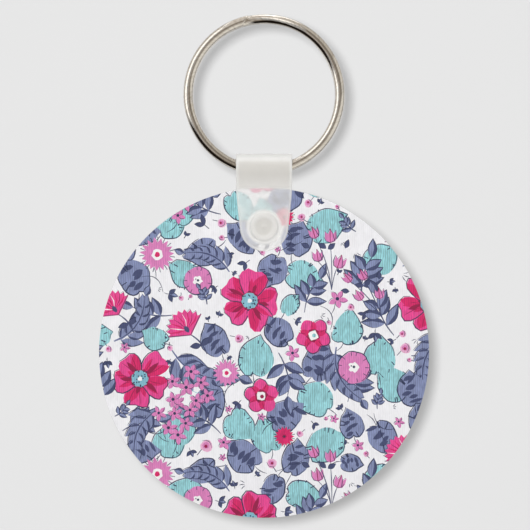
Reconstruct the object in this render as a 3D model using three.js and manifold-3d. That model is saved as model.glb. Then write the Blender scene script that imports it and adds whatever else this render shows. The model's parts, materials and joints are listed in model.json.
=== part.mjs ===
// Round keychain: a printed disc that hangs from a split ring on a folded plastic strap.
// Millimetres, +Z up. The disc's printed front faces -Y, and the origin is the point inside
// the top of the ring where a hook carries it.
import * as THREE from 'three';
import { mergeVertices } from 'three/addons/utils/BufferGeometryUtils.js';
import Module from 'manifold-3d';

const wasm = await Module();
wasm.setup();

// Driving dimensions
const discDiameter = 57.15;
const coreThickness = 2;
const filmThickness = 0.18;
const glueLine = 0.02; // between the core and each film
const snapToRim = 6.8; // from the snap's axis up to the disc's rim
const ringOuterDiameter = 28;
const wireWidth = 1.7; // along the ring's radius
const wireHeight = 1.25; // along the ring's axis
const wireCorner = 0.55;
const coilGap = 0.1; // between the ring's two turns
const ringToDisc = 2.2; // free height between the ring and the disc's rim
const strapWidth = 9.7;
const strapThickness = 0.75;
const strapEndRadius = 4.2;
const strapToDisc = 0.2; // clearance that lets the disc turn between the two legs
const foldRadius = 2.52; // to the middle of the strap's thickness
const foldToContact = 4.1; // from the fold's centre down to where the legs lie flat
const flapHingeDrop = 0.55; // from the end of the fold to the flap's rounded upper end
const bossRadius = 2.65;
const runningFit = 0.1;
const studNeckRadius = 1.2;
const studHeadRadius = 1.5;
const studLead = 0.25; // chamfer that guides the stud into its socket
const socketClearance = 0.2;
const padHeight = 0.35; // of the raised ring round each half of the snap
const padRadius = 2.7;
const padChamfer = 0.15;
const dimpleRadius = 1.9;
const dimpleDepth = 0.25;
const gateRadius = 0.25; // of the small moulding mark in the dimple's middle
const gateHeight = 0.1;
const wireEndAngle = THREE.MathUtils.degToRad(101); // where the wire starts, left of the ring's top
const crossingAngle = THREE.MathUtils.degToRad(50); // how far round the wire takes to cross over

// How finely round shapes are faceted
const curveSegments = 16;
const foldSteps = 20;
const turnedSegments = 40;
const gateSegments = 16;
const rimSegments = 120;
const wireSteps = 150;
const cutMargin = 1; // how far a cutting shape reaches past what it cuts

// Derived places
const faceY = coreThickness / 2 + glueLine + filmThickness; // the films' outer faces
const discRadius = discDiameter / 2;
const ringMeanRadius = (ringOuterDiameter - wireWidth) / 2;
const ringCentreZ = wireWidth / 2 - ringMeanRadius;
const foldZ = ringCentreZ - ringMeanRadius; // the middle of the wire, inside the strap's fold
const discTopZ = foldZ - wireWidth / 2 - ringToDisc;
const discCentreZ = discTopZ - discRadius;
const snapZ = discTopZ - snapToRim;
const legInnerY = faceY + strapToDisc;
const legMiddleY = legInnerY + strapThickness / 2;
const legOuterY = legInnerY + strapThickness;
const padY = legOuterY + padHeight;
const contactZ = foldZ - foldToContact;
const belowEndZ = snapZ - strapEndRadius - cutMargin; // the legs are cut from a longer strip

// Materials
const steel = { color: 0xc9c2b6, metalness: 1, roughness: 0.25 };
const frostedPlastic = { color: 0xe4e1da, metalness: 0, roughness: 0.45, transparent: true, opacity: 0.7 };
const whiteBoard = { color: 0xf4f2ee, metalness: 0, roughness: 0.6 };
const printedFilm = { color: 0xe9c9d6, metalness: 0, roughness: 0.35 };

function part(name, geometry, material) {
  const mesh = new THREE.Mesh(geometry, new THREE.MeshStandardMaterial(material));
  mesh.name = name;
  return mesh;
}

// A closed geometry as a solid that can be joined and cut.
function solid(geometry) {
  const bare = geometry.clone();
  bare.deleteAttribute('normal');
  bare.deleteAttribute('uv');
  const merged = mergeVertices(bare);
  const vertProperties = new Float32Array(merged.attributes.position.array);
  const triVerts = new Uint32Array(merged.index.array);
  return new wasm.Manifold(new wasm.Mesh({ numProp: 3, vertProperties, triVerts }));
}

function geometryOf(body) {
  const { vertProperties, triVerts } = body.getMesh();
  const geometry = new THREE.BufferGeometry();
  geometry.setAttribute('position', new THREE.BufferAttribute(vertProperties, 3));
  geometry.setIndex(new THREE.BufferAttribute(triVerts, 1));
  geometry.computeVertexNormals();
  return geometry;
}

function circlePoints(radius, count, centreZ) {
  return Array.from({ length: count }, (_, i) => {
    const angle = (2 * Math.PI * i) / count;
    return new THREE.Vector2(radius * Math.cos(angle), centreZ + radius * Math.sin(angle));
  });
}

// A plate from an outline drawn in X and Z, between two places along Y.
function plate(shape, fromY, toY) {
  const geometry = new THREE.ExtrudeGeometry(shape, {
    depth: toY - fromY, bevelEnabled: false, curveSegments,
  });
  return geometry.rotateX(Math.PI / 2).translate(0, toY, 0);
}

// A turned piece on the snap's axis. Each profile point is [radius, y], with y rising.
function turned(profile, segments) {
  const points = profile.map(([radius, y]) => new THREE.Vector2(radius, y));
  return new THREE.LatheGeometry(points, segments).translate(0, 0, snapZ);
}

// ---- Split ring: flat-sided wire wound twice round, crossing from turn to turn once ----

class TwoTurnPath extends THREE.Curve {
  constructor(radius, pitch, startAngle, crossing) {
    super();
    Object.assign(this, { radius, pitch, startAngle, crossing });
  }

  // The wire stays in the front turn, crosses over, then stays in the back turn.
  getPoint(t) {
    const swept = t * (4 * Math.PI - this.crossing);
    const crossed = THREE.MathUtils.smoothstep(swept, 2 * Math.PI - this.crossing, 2 * Math.PI);
    const angle = this.startAngle + swept;
    const y = this.pitch * (crossed - 0.5);
    return new THREE.Vector3(this.radius * Math.cos(angle), y, this.radius * Math.sin(angle));
  }

  // The section keeps its flat sides square to the ring's radius all the way round.
  computeFrenetFrames(steps) {
    const frames = { tangents: [], normals: [], binormals: [] };
    for (let i = 0; i <= steps; i += 1) {
      const point = this.getPointAt(i / steps);
      const tangent = this.getTangentAt(i / steps);
      const outward = new THREE.Vector3(point.x, 0, point.z).normalize();
      frames.tangents.push(tangent);
      frames.normals.push(new THREE.Vector3().crossVectors(outward, tangent).normalize());
      frames.binormals.push(outward);
    }
    return frames;
  }
}

function wireSection() {
  const [x, y, r] = [wireHeight / 2, wireWidth / 2, wireCorner];
  const section = new THREE.Shape();
  section.moveTo(x, y - r);
  section.absarc(x - r, y - r, r, 0, Math.PI / 2, false);
  section.absarc(r - x, y - r, r, Math.PI / 2, Math.PI, false);
  section.absarc(r - x, r - y, r, Math.PI, 1.5 * Math.PI, false);
  section.absarc(x - r, r - y, r, 1.5 * Math.PI, 2 * Math.PI, false);
  return section;
}

function splitRing() {
  const pitch = wireHeight + coilGap;
  const path = new TwoTurnPath(ringMeanRadius, pitch, wireEndAngle, crossingAngle);
  const geometry = new THREE.ExtrudeGeometry(wireSection(), {
    steps: wireSteps, curveSegments: 1, bevelEnabled: false, extrudePath: path,
  });
  return geometry.translate(0, 0, ringCentreZ);
}

// ---- Strap: one moulded strip over the ring's wire, with a stud and a socket at its ends ----

// How far the legs lean in, from the fold's tangent to where they lie flat on the disc.
const legLean = Math.atan2(foldToContact, legMiddleY)
  - Math.acos(foldRadius / Math.hypot(legMiddleY, foldToContact));

function foldPoint(angle) {
  return new THREE.Vector2(foldRadius * Math.cos(angle), foldZ + foldRadius * Math.sin(angle));
}

// A strip of even thickness along a line of points in Y and Z, spread across X.
function strip(line, width) {
  const sideOf = (i, side) => {
    const before = line[Math.max(i - 1, 0)];
    const after = line[Math.min(i + 1, line.length - 1)];
    const along = after.clone().sub(before).normalize();
    return line[i].clone().add(new THREE.Vector2(-along.y, along.x).multiplyScalar(side));
  };
  const left = line.map((_, i) => sideOf(i, strapThickness / 2));
  const right = line.map((_, i) => sideOf(i, -strapThickness / 2)).reverse();
  const geometry = new THREE.ExtrudeGeometry(new THREE.Shape([...left, ...right]), {
    depth: width, bevelEnabled: false,
  });
  // The outline's two axes become Y and Z, and its depth becomes X.
  const turn = new THREE.Matrix4().makeBasis(
    new THREE.Vector3(0, 1, 0), new THREE.Vector3(0, 0, 1), new THREE.Vector3(1, 0, 0),
  );
  return geometry.applyMatrix4(turn).translate(-width / 2, 0, 0);
}

// The strap's outline from the front: straight sides, then a taper to the round end.
function strapOutline() {
  const half = strapWidth / 2;
  const topZ = foldZ + 2 * foldRadius;
  const bendZ = (discTopZ + snapZ) / 2;
  const outline = new THREE.Shape();
  outline.moveTo(-half, topZ);
  outline.lineTo(-half, discTopZ);
  outline.bezierCurveTo(-half, bendZ, -strapEndRadius, bendZ, -strapEndRadius, snapZ);
  outline.absarc(0, snapZ, strapEndRadius, Math.PI, 2 * Math.PI, false);
  outline.bezierCurveTo(strapEndRadius, bendZ, half, bendZ, half, discTopZ);
  outline.lineTo(half, topZ);
  return outline;
}

function cutToOutline(strap) {
  const reach = 2 * padY;
  return solid(strap).intersect(solid(plate(strapOutline(), -reach, reach)));
}

// Front leg, fold and stud. The stud's wide root is the pin that the disc turns on.
function strapFront() {
  const line = [
    new THREE.Vector2(-legMiddleY, belowEndZ),
    new THREE.Vector2(-legMiddleY, contactZ),
  ];
  for (let i = 0; i <= foldSteps; i += 1) {
    line.push(foldPoint(Math.PI + legLean - (i / foldSteps) * (Math.PI + 2 * legLean)));
  }
  const pad = turned([
    [0, -padY], [padRadius - padChamfer, -padY], [padRadius, -padY + padChamfer],
    [padRadius, -legMiddleY], [0, -legMiddleY],
  ], turnedSegments);
  const gateY = -padY + dimpleDepth;
  const dimple = turned([
    [0, -padY - cutMargin], [dimpleRadius, -padY - cutMargin], [dimpleRadius, -padY],
    [dimpleRadius - dimpleDepth, gateY], [0, gateY],
  ], turnedSegments);
  const gate = turned([
    [0, gateY - gateHeight], [gateRadius, gateY - gateHeight], [gateRadius, gateY + gateHeight],
    [0, gateY + gateHeight],
  ], gateSegments);
  const neckY = faceY - strapToDisc;
  const headY = legOuterY - studLead;
  const stud = turned([
    [0, -legMiddleY], [bossRadius, -legMiddleY], [bossRadius, neckY], [studNeckRadius, neckY],
    [studNeckRadius, headY - studLead], [studHeadRadius, headY],
    [studHeadRadius, padY - 2 * studLead], [studHeadRadius - studLead, padY - studLead],
    [0, padY - studLead],
  ], turnedSegments);
  const leg = cutToOutline(strip(line, strapWidth + 2 * cutMargin));
  const body = leg.add(solid(pad)).add(solid(stud)).subtract(solid(dimple)).add(solid(gate));
  return geometryOf(body);
}

// Back leg with the socket that snaps on the stud. Its upper end is round, about its hinge.
function strapBack() {
  const foldEnd = foldPoint(-legLean);
  const contact = new THREE.Vector2(legMiddleY, contactZ);
  const down = contact.clone().sub(foldEnd).normalize();
  const hinge = foldEnd.clone().addScaledVector(down, flapHingeDrop);
  const line = [hinge, contact, new THREE.Vector2(legMiddleY, belowEndZ)];
  const knuckle = new THREE.CylinderGeometry(
    strapThickness / 2, strapThickness / 2, strapWidth, curveSegments,
  ).rotateZ(Math.PI / 2).translate(0, hinge.x, hinge.y);
  const pad = turned([
    [0, legMiddleY], [padRadius, legMiddleY], [padRadius, padY - padChamfer],
    [padRadius - padChamfer, padY], [0, padY],
  ], turnedSegments);
  const socketRadius = studHeadRadius + socketClearance;
  const socket = turned([
    [0, legInnerY - cutMargin], [socketRadius, legInnerY - cutMargin],
    [socketRadius, padY + cutMargin], [0, padY + cutMargin],
  ], turnedSegments);
  const leg = cutToOutline(strip(line, strapWidth + 2 * cutMargin)).add(solid(knuckle));
  return geometryOf(leg.add(solid(pad)).subtract(solid(socket)));
}

// ---- Disc: a plain core with a printed film on each face and one hole for the snap ----

function discLayer(fromY, toY) {
  const outline = new THREE.Shape(circlePoints(discRadius, rimSegments, discCentreZ));
  const hole = circlePoints(bossRadius + runningFit, turnedSegments, snapZ);
  outline.holes.push(new THREE.Path(hole));
  return plate(outline, fromY, toY);
}

const keychain = new THREE.Group();
keychain.add(
  part('split_ring', splitRing(), steel),
  part('strap_front', strapFront(), frostedPlastic),
  part('strap_back', strapBack(), frostedPlastic),
  part('disc_core', discLayer(-coreThickness / 2, coreThickness / 2), whiteBoard),
  part('front_print', discLayer(-faceY, -faceY + filmThickness), printedFilm),
  part('back_print', discLayer(faceY - filmThickness, faceY), printedFilm),
);
export default keychain;
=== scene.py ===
import json
import random
from itertools import product
from math import acos, atan2, copysign, cos, degrees, exp, hypot, pi, radians, sin, sqrt, tan

import bpy
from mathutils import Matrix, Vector
from mathutils.geometry import delaunay_2d_cdt


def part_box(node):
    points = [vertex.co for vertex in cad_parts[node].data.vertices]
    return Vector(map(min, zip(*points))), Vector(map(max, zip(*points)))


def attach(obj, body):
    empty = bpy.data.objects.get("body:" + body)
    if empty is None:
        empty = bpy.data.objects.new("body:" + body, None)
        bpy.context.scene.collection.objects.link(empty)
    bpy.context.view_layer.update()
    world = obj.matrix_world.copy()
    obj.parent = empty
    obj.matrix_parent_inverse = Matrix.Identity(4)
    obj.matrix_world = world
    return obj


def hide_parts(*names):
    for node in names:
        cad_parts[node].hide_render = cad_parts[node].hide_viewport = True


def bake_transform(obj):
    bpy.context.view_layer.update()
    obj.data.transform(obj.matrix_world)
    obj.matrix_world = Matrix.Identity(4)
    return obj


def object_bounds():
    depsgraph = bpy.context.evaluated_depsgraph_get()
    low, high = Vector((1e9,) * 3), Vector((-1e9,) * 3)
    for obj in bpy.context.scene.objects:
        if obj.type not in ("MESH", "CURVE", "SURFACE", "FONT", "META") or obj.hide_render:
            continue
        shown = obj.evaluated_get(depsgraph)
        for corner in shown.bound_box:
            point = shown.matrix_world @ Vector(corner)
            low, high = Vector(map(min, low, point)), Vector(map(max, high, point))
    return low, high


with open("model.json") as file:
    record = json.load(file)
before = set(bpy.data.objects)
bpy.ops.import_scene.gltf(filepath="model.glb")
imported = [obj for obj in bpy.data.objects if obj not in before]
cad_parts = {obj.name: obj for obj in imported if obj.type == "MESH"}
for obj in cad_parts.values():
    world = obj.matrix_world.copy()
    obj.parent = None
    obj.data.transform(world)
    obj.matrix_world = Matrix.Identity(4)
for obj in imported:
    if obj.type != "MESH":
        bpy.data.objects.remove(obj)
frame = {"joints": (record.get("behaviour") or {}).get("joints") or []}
cad_low, cad_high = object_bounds()

# Lengths are millimetres, and X and Z are across the disc, unless a name says otherwise.
MM = 1000.0

# ---- Sizes, worked out from the frame ----

joint_places = {joint["name"]: Vector(joint["pos_m"]) * MM for joint in frame["joints"]}


def box(node_name):
    """A CAD node's lowest and highest corners in millimetres."""
    low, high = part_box(node_name)
    return low * MM, high * MM


print_low, print_high = box("front_print")
core_low, core_high = box("disc_core")
ring_low, ring_high = box("split_ring")
strap_low, strap_high = box("strap_front")

disc_radius = (print_high.x - print_low.x) / 2
disc_z = (print_high.z + print_low.z) / 2
disc_top = print_high.z
film_thickness = print_high.y - print_low.y
face_y = -print_low.y
core_half = (core_high.y - core_low.y) / 2
snap_z = joint_places["disc_swivel"].z
fold_z = joint_places["strap_swing"].z

wire_width = 1.7
coil_gap = 0.1
wire_height = (ring_high.y - ring_low.y - coil_gap) / 2
ring_radius = (ring_high.x - ring_low.x - wire_width) / 2
ring_z = (ring_high.z + ring_low.z) / 2

strap_end_radius = snap_z - strap_low.z
strap_width = 9.7
strap_thickness = 0.75
half_strap = strap_thickness / 2
strap_to_disc = 0.2
leg_y = face_y + strap_to_disc + half_strap
fold_radius = strap_high.z - fold_z - half_strap
fold_to_contact = 4.1
above_rim = disc_top - snap_z

boss_radius = 2.65
running_fit = 0.1
hole_radius = boss_radius + running_fit
socket_radius = 1.7
stud_neck_radius = 1.2
stud_head_radius = 1.5
stud_sunk = 0.25  # how far the stud's end stays below the socket's rim
pad_height = 0.35
pad_radius = 2.7

SHARP_ANGLE = radians(60)  # edges more bent than this look sharp
RIM_STEPS = 240  # straight pieces round the disc
HOLE_STEPS = 64
SNAP_STEPS = 56


# ---- Mesh and material helpers ----


def srgb(red, green, blue):
    """A colour from its 0 to 255 display values, as the linear values that shaders take."""
    def linear(value):
        share = value / 255
        return share / 12.92 if share <= 0.04045 else ((share + 0.055) / 1.055) ** 2.4
    return (linear(red), linear(green), linear(blue), 1.0)


def smooth(value, low, high):
    """0 up to low, 1 from high, and an eased rise between them."""
    share = min(max((value - low) / (high - low), 0.0), 1.0)
    return share * share * (3 - 2 * share)


def polar(radius, angle):
    return radius * cos(angle), radius * sin(angle)


def turns(count):
    """Evenly spaced angles once round."""
    return [2 * pi * i / count for i in range(count)]


def in_scene(name, data):
    made = bpy.data.objects.new(name, data)
    bpy.context.scene.collection.objects.link(made)
    return made


def piece(name, points, faces, material):
    """A smooth mesh from points in millimetres. rest_place keeps where each point started."""
    mesh = bpy.data.meshes.new(name)
    mesh.from_pydata([Vector(p) / MM for p in points], [], faces)
    mesh.validate()
    mesh.update()
    mesh.shade_smooth()
    mesh.set_sharp_from_angle(angle=SHARP_ANGLE)
    mesh.materials.append(material)
    rest = mesh.attributes.new("rest_place", "FLOAT_VECTOR", "POINT")
    rest.data.foreach_set("vector", [c for v in mesh.vertices for c in v.co])
    return in_scene(name, mesh)


def point_values(made, name, values):
    """A number for each point of a piece, for its material to read."""
    made.data.attributes.new(name, "FLOAT", "POINT").data.foreach_set("value", values)


def feed(made, inputs):
    """Links each input of a node from a socket, or sets it to a value. _ in a name means a space."""
    for key, value in inputs.items():
        socket = made.inputs[key.replace("_", " ") if isinstance(key, str) else key]
        if isinstance(value, bpy.types.NodeSocket):
            made.id_data.links.new(value, socket)
        else:
            socket.default_value = value


def node(tree, kind, inputs=None, **settings):
    """A shader node with its inputs and settings."""
    made = tree.nodes.new(kind)
    for key, value in settings.items():
        setattr(made, key, value)
    feed(made, inputs or {})
    return made


def new_material(name, **inputs):
    """A material with one Principled shader and its inputs."""
    material = bpy.data.materials.new(name)
    material.use_nodes = True
    shader = material.node_tree.nodes["Principled BSDF"]
    feed(shader, inputs)
    return material, material.node_tree, shader


def attribute(tree, name):
    return node(tree, "ShaderNodeAttribute", attribute_name=name)


def scaled(vector, factors):
    """A vector with each of its parts multiplied by its own factor."""
    made = node(vector.id_data, "ShaderNodeVectorMath", {0: vector, 1: factors}, operation="MULTIPLY")
    return made.outputs[0]


def rest_place(tree, stretch=(1.0, 1.0, 1.0)):
    """Where a point of the piece was at rest, in millimetres."""
    return scaled(attribute(tree, "rest_place").outputs["Vector"], [MM * s for s in stretch])


def noise(place, scale, detail=3.0, distortion=0.0):
    made = node(place.id_data, "ShaderNodeTexNoise",
                {"Vector": place, "Scale": scale, "Detail": detail, "Distortion": distortion})
    return made.outputs["Fac"]


def reckon(operation, *values, clamp=False):
    made = node(values[0].id_data, "ShaderNodeMath", dict(enumerate(values)), operation=operation)
    made.use_clamp = clamp
    return made.outputs[0]


def add(first, second, clamp=False):
    return reckon("ADD", first, second, clamp=clamp)


def times(first, second):
    return reckon("MULTIPLY", first, second)


def between(value, low, high):
    """A 0 to 1 value spread over a new range."""
    inputs = {"Value": value, "To Min": low, "To Max": high}
    return node(value.id_data, "ShaderNodeMapRange", inputs).outputs[0]


def mixed(share, first, second):
    """A colour that goes from the first to the second as share goes from 0 to 1."""
    made = node(share.id_data, "ShaderNodeMix", {0: share, 6: first, 7: second}, data_type="RGBA")
    return made.outputs[2]


def set_bump(shader, height, distance_mm):
    made = node(shader.id_data, "ShaderNodeBump", {"Height": height, "Distance": distance_mm / MM})
    feed(shader, {"Normal": made.outputs[0]})


# ---- Materials ----


def plated_steel():
    """Nickel plate on drawn wire: fine lines along the wire, handling scratches and dull spots."""
    material, tree, shader = new_material("plated_steel", Metallic=1.0)
    wire = attribute(tree, "wire_place").outputs["Vector"]
    lines = noise(scaled(wire, (14.0, 14.0, 0.22)), 1.0, 4.0)
    scuffs = noise(rest_place(tree), 1.6, 5.0, 0.6)
    grain = noise(rest_place(tree), 9.0, 2.0)
    leaning = node(tree, "ShaderNodeVectorRotate", {"Vector": wire, "Angle": radians(38)},
                   rotation_type="Y_AXIS").outputs[0]
    strokes = noise(scaled(leaning, (0.5, 0.5, 3.6)), 1.0, 2.0)
    plate = mixed(scuffs, srgb(229, 223, 214), srgb(240, 236, 230))
    worn = mixed(between(lines, 0.0, 0.35), plate, srgb(206, 198, 186))
    colour = mixed(between(strokes, -0.5, 0.7), worn, srgb(168, 156, 140))
    rough = add(between(lines, 0.03, 0.12), between(scuffs, 0.0, 0.06))
    feed(shader, dict(Base_Color=colour, Roughness=rough))
    set_bump(shader, add(lines, times(grain, 0.25)), 0.004)
    return material


def frosted_plastic():
    """Milky moulded plastic. cover is how much it hides, and warm how beige it is: in the thick snap, and
    in front between the disc's rim and the fold. It is kept pale towards the fold's top and along the
    edges, a painted highlight.
    """
    material, tree, shader = new_material("frosted_plastic", IOR=1.49)
    cloud = noise(rest_place(tree), 0.45, 3.0)
    grain = noise(rest_place(tree), 7.0, 2.0)
    milk = mixed(cloud, srgb(238, 237, 234), srgb(247, 246, 243))
    colour = mixed(attribute(tree, "warm").outputs["Fac"], milk, srgb(218, 215, 209))
    patchy = between(cloud, -0.04, 0.04)
    cover = add(attribute(tree, "cover").outputs["Fac"], patchy, clamp=True)
    feed(shader, dict(Base_Color=colour, Alpha=cover, Roughness=between(grain, 0.28, 0.44)))
    set_bump(shader, add(grain, cloud), 0.02)
    return material


def white_board():
    """The disc's plain core, which shows at its rim: pressed board with fine fibres."""
    material, tree, shader = new_material("white_board")
    layers = noise(rest_place(tree, (0.25, 4.0, 0.25)), 1.4, 4.0)
    grain = noise(rest_place(tree), 5.0, 4.0)
    colour = mixed(layers, srgb(238, 236, 230), srgb(249, 248, 244))
    feed(shader, dict(Base_Color=colour, Roughness=between(grain, 0.5, 0.7)))
    set_bump(shader, add(grain, layers), 0.03)
    return material


def printed_film():
    """Satin film with the print's own inks. The ink's alpha says how strongly it is hatched."""
    material, tree, shader = new_material(
        "printed_film", IOR=1.45, Specular_IOR_Level=0.25, Coat_Weight=0.12, Coat_Roughness=0.2)
    hatch_pitch, hatch_depth, hatch_drift = 0.38, 0.3, 9.0
    ink = attribute(tree, "ink")
    strength = ink.outputs["Alpha"]
    place = rest_place(tree)
    drift = noise(place, 0.35, 2.0)
    across = node(tree, "ShaderNodeSeparateXYZ", {0: place}).outputs["X"]
    turned = add(times(across, 2 * pi / hatch_pitch), times(drift, hatch_drift))
    wave = reckon("SINE", turned)
    breaks = noise(rest_place(tree, (2.6, 1.0, 0.5)), 1.0, 3.0)
    hatch = times(times(wave, breaks), strength)
    wash = noise(rest_place(tree, (1.6, 1.0, 0.6)), 1.1, 4.0, 0.8)
    shade = add(times(hatch, hatch_depth), 1.0)
    shade = add(shade, between(drift, -0.07, 0.05))
    shade = add(shade, between(wash, -0.03, 0.03))
    shade = add(shade, times(strength, between(wash, -0.5, 0.42)))
    colour = node(tree, "ShaderNodeVectorMath", {0: ink.outputs["Color"], "Scale": shade},
                  operation="SCALE").outputs[0]
    skin = noise(place, 2.2, 2.0)
    feed(shader, dict(Base_Color=colour, Roughness=between(skin, 0.36, 0.46)))
    set_bump(shader, skin, 0.012)
    return material


# ---- Split ring: flat-sided wire wound twice round, crossing from turn to turn once ----

wire_end = radians(101)
crossing = radians(50)
wire_sweep = 4 * pi - crossing
end_bevel = radians(0.9)  # over how much of the ring an end is rounded
end_size = 0.88  # of the section at the very end
end_slant = radians(7)  # between the inner and the outer corner of a cut end
slant_reach = radians(16)
squareness = 2.25  # 2 would make the section an oval


def wire_path(swept):
    """The wire's middle at an angle swept from its start: (angle, Y)."""
    crossed = smooth(swept, 2 * pi - crossing, 2 * pi)
    return wire_end + swept, (wire_height + coil_gap) * (crossed - 0.5)


def wire_stations():
    """Places along the wire, as (angle swept, size of the section), with rounded ends."""
    steps = 720
    end = [(end_bevel * (1 - cos(a)), end_size + (1 - end_size) * sin(a))
           for a in (pi / 8 * i for i in range(5))]
    middle = [(end_bevel + (wire_sweep - 2 * end_bevel) * i / steps, 1.0) for i in range(1, steps)]
    return end + middle + [(wire_sweep - swept, size) for swept, size in reversed(end)]


def section_point(angle):
    """A point of the wire's section, from -1 to 1 each way: a square with well rounded sides."""
    return [copysign(abs(v) ** (2 / squareness), v) for v in polar(1, angle)]


def tube_faces(rows, around):
    """Faces over rows of points, each row a closed loop, with both ends closed."""
    faces = []
    for start in range(0, (rows - 1) * around, around):
        for i in range(around):
            a, b = start + i, start + (i + 1) % around
            faces.append((a, b, b + around, a + around))
    last = (rows - 1) * around
    return faces + [tuple(range(around - 1, -1, -1)), tuple(range(last, last + around))]


def split_ring():
    around = 28
    section = [section_point(t) for t in turns(around)]
    stations = wire_stations()
    points, places = [], []
    for swept, size in stations:
        near_end = max(0.0, 1 - min(swept, wire_sweep - swept) / slant_reach)
        inwards = end_slant * near_end * (1 if swept < wire_sweep / 2 else -1)
        for across, up in section:
            radial = across * wire_width / 2 * size
            axial = up * wire_height / 2 * size
            angle, y = wire_path(swept + inwards * (0.5 - radial / wire_width))
            x, z = polar(ring_radius + radial, angle)
            points.append((x, y + axial, ring_z + z))
            places.extend((radial, axial, swept * ring_radius))
    made = piece("split_ring_wire", points, tube_faces(len(stations), around), plated_steel())
    made.data.attributes.new("wire_place", "FLOAT_VECTOR", "POINT").data.foreach_set("vector", places)
    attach(made, "ring")
    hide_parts("split_ring")


# ---- Flat outlines, filled with triangles ----


def circle(x, z, radius, count):
    return [(x + a, z + b) for a, b in (polar(radius, t) for t in turns(count))]


def signed_area(shape):
    return sum(a[0] * b[1] - b[0] * a[1] for a, b in zip(shape, shape[1:] + shape[:1])) / 2


def triangles(shapes, loose=()):
    """Triangles over flat shapes, with the shapes that lie over each one, as (points, faces, covers)."""
    merge_distance = 1e-3
    points, loops = [Vector(p) for p in loose], []
    for shape in shapes:
        corners = [Vector(p) for p in (shape if signed_area(shape) > 0 else shape[::-1])]
        loops.append(list(range(len(points), len(points) + len(corners))))
        points.extend(corners)
    made = delaunay_2d_cdt(points, [], loops, 1, merge_distance, True)
    return made[0], made[2], made[5]


def compact(sheet, faces):
    """The faces with only the points that they use."""
    used = sorted({i for f in faces for i in f})
    index = {old: new for new, old in enumerate(used)}
    return [sheet[i] for i in used], [tuple(index[i] for i in f) for f in faces]


def rim_loops(faces):
    """The open edges of a sheet of faces, each as one ordered loop of points."""
    edges = {(f[i - 1], f[i]) for f in faces for i in range(len(f))}
    follows = {a: b for a, b in edges if (b, a) not in edges}
    loops = []
    while follows:
        at, loop = min(follows), []
        while at in follows:
            loop.append(at)
            at = follows.pop(at)
        loops.append(loop)
    return loops


def band(first, second):
    """Faces that join two closed rows of points."""
    return [(first[i], first[i - 1], second[i - 1], second[i]) for i in range(len(first))]


# ---- Disc: a plain core with a printed film on each face ----


def corner_steps(corner):
    """Places across the core's edge of two rounded corners, as (y, how far out of the flat face)."""
    bends = [pi / 8 * i for i in range(1, 5)]
    front = [(-core_half + corner * (1 - cos(t)), corner * sin(t)) for t in bends]
    return front + [(-y, out) for y, out in reversed(front)]


def disc_core():
    """A round board with softened corners and a hole for the snap."""
    corner = 0.16
    flat_rim, flat_hole = disc_radius - corner, hole_radius + corner
    sheet, faces, covers = triangles(
        [circle(0, disc_z, flat_rim, RIM_STEPS), circle(0, snap_z, flat_hole, HOLE_STEPS)])
    sheet, faces = compact(sheet, [f for f, cover in zip(faces, covers) if cover == [0]])
    count = len(sheet)
    points = [(p.x, -core_half, p.y) for p in sheet] + [(p.x, core_half, p.y) for p in sheet]
    all_faces = faces + [tuple(i + count for i in reversed(f)) for f in faces]
    loops = rim_loops(faces)
    for loop in loops:
        outer = loop is max(loops, key=len)
        centre, flat_radius, side = (disc_z, flat_rim, 1) if outer else (snap_z, flat_hole, -1)
        rings = [loop]
        for y, out in corner_steps(corner):
            start = len(points)
            for i in loop:
                angle = atan2(sheet[i].y - centre, sheet[i].x)
                x, z = polar(flat_radius + side * out, angle)
                points.append((x, y, centre + z))
            rings.append(list(range(start, len(points))))
        rings.append([i + count for i in loop])
        for low, high in zip(rings, rings[1:]):
            all_faces += band(low, high)
    made = piece("disc_board", points, all_faces, white_board())
    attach(made, "disc")
    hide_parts("disc_core")


# ---- The floral print: generic blossoms, leaves and sprigs, drawn shape over shape ----

INKS = {
    "paper": (249, 248, 251, 0.14),
    "crimson": (220, 42, 108, 0.6),
    "rose": (236, 76, 150, 0.6),
    "wine": (156, 34, 78, 0.2),
    "pink": (225, 134, 192, 0.5),
    "blush": (238, 180, 212, 0.3),
    "teal": (154, 211, 217, 1.0),
    "aqua": (136, 192, 210, 0.6),
    "slate": (136, 146, 184, 0.9),
    "navy": (75, 82, 118, 0.5),
    "line": (54, 60, 90, 0.1),
    "snow": (252, 250, 250, 0.0),
}


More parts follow.
